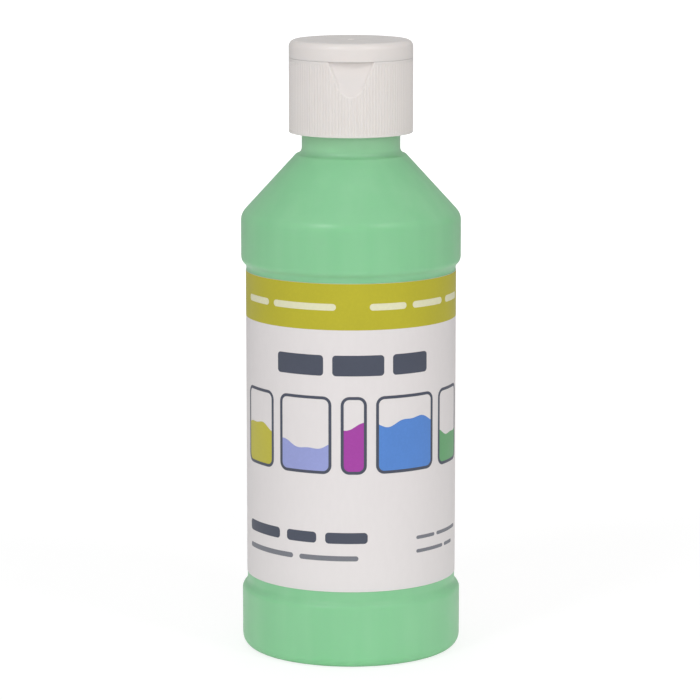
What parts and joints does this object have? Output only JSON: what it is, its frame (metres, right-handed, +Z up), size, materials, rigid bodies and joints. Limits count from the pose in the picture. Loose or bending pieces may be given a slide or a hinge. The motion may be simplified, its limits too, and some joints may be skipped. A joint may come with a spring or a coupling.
{
  "type": "paint squeeze bottle",
  "caption": "Cylindrical squeeze bottle of craft paint with recessed label panel, sloping shoulder and a ribbed screw cap with a hinged flip-top lid.",
  "frame": {"origin": "centre of the standing ring, on the surface that the bottle stands on", "axes": "+Z up along the axis of the bottle; the thumb scoop of the cap and the front of the label face -Y; the lid's hinge is at +Y; +X to the right"},
  "size_m": [0.0558, 0.0558, 0.1561],
  "materials": {
    "bottle_plastic": "semi-gloss translucent polyethylene, tinted green by the paint behind it",
    "paint": "liquid tempera paint",
    "label_film": "satin printed film",
    "cap_plastic": "semi-gloss white polypropylene",
    "lid_plastic": "semi-gloss white polypropylene",
    "hinge_plastic": "thin white polypropylene",
    "liner_foam": "closed-cell foam"
  },
  "bodies": {
    "bottle": {"bottle": "bottle_plastic", "paint": "paint", "label": "label_film"},
    "liner": {"cap_liner": "liner_foam"},
    "cap": {"cap_base": "cap_plastic", "hinge_film": "hinge_plastic"},
    "lid": {"flip_lid": "lid_plastic"}
  },
  "joints": [
    {"name": "cap_lift", "type": "slide", "parent": "bottle", "child": "liner", "axis": [0, 0, 1], "range_m": [0, 0.02121]},
    {"name": "cap_turn", "type": "hinge", "parent": "liner", "child": "cap", "pos_m": [0, 0, 0.1427], "axis": [0, 0, 1], "range_deg": [0, 1800]},
    {"name": "lid_hinge", "type": "hinge", "parent": "cap", "child": "lid", "pos_m": [0, 0.0154, 0.1516], "axis": [-1, 0, 0], "range_deg": [0, 150], "deforming": ["hinge_film"]}
  ],
  "couplings": [
    {"joint": "cap_lift", "follows": "cap_turn", "m_per_rad": 0.00067375}
  ]
}
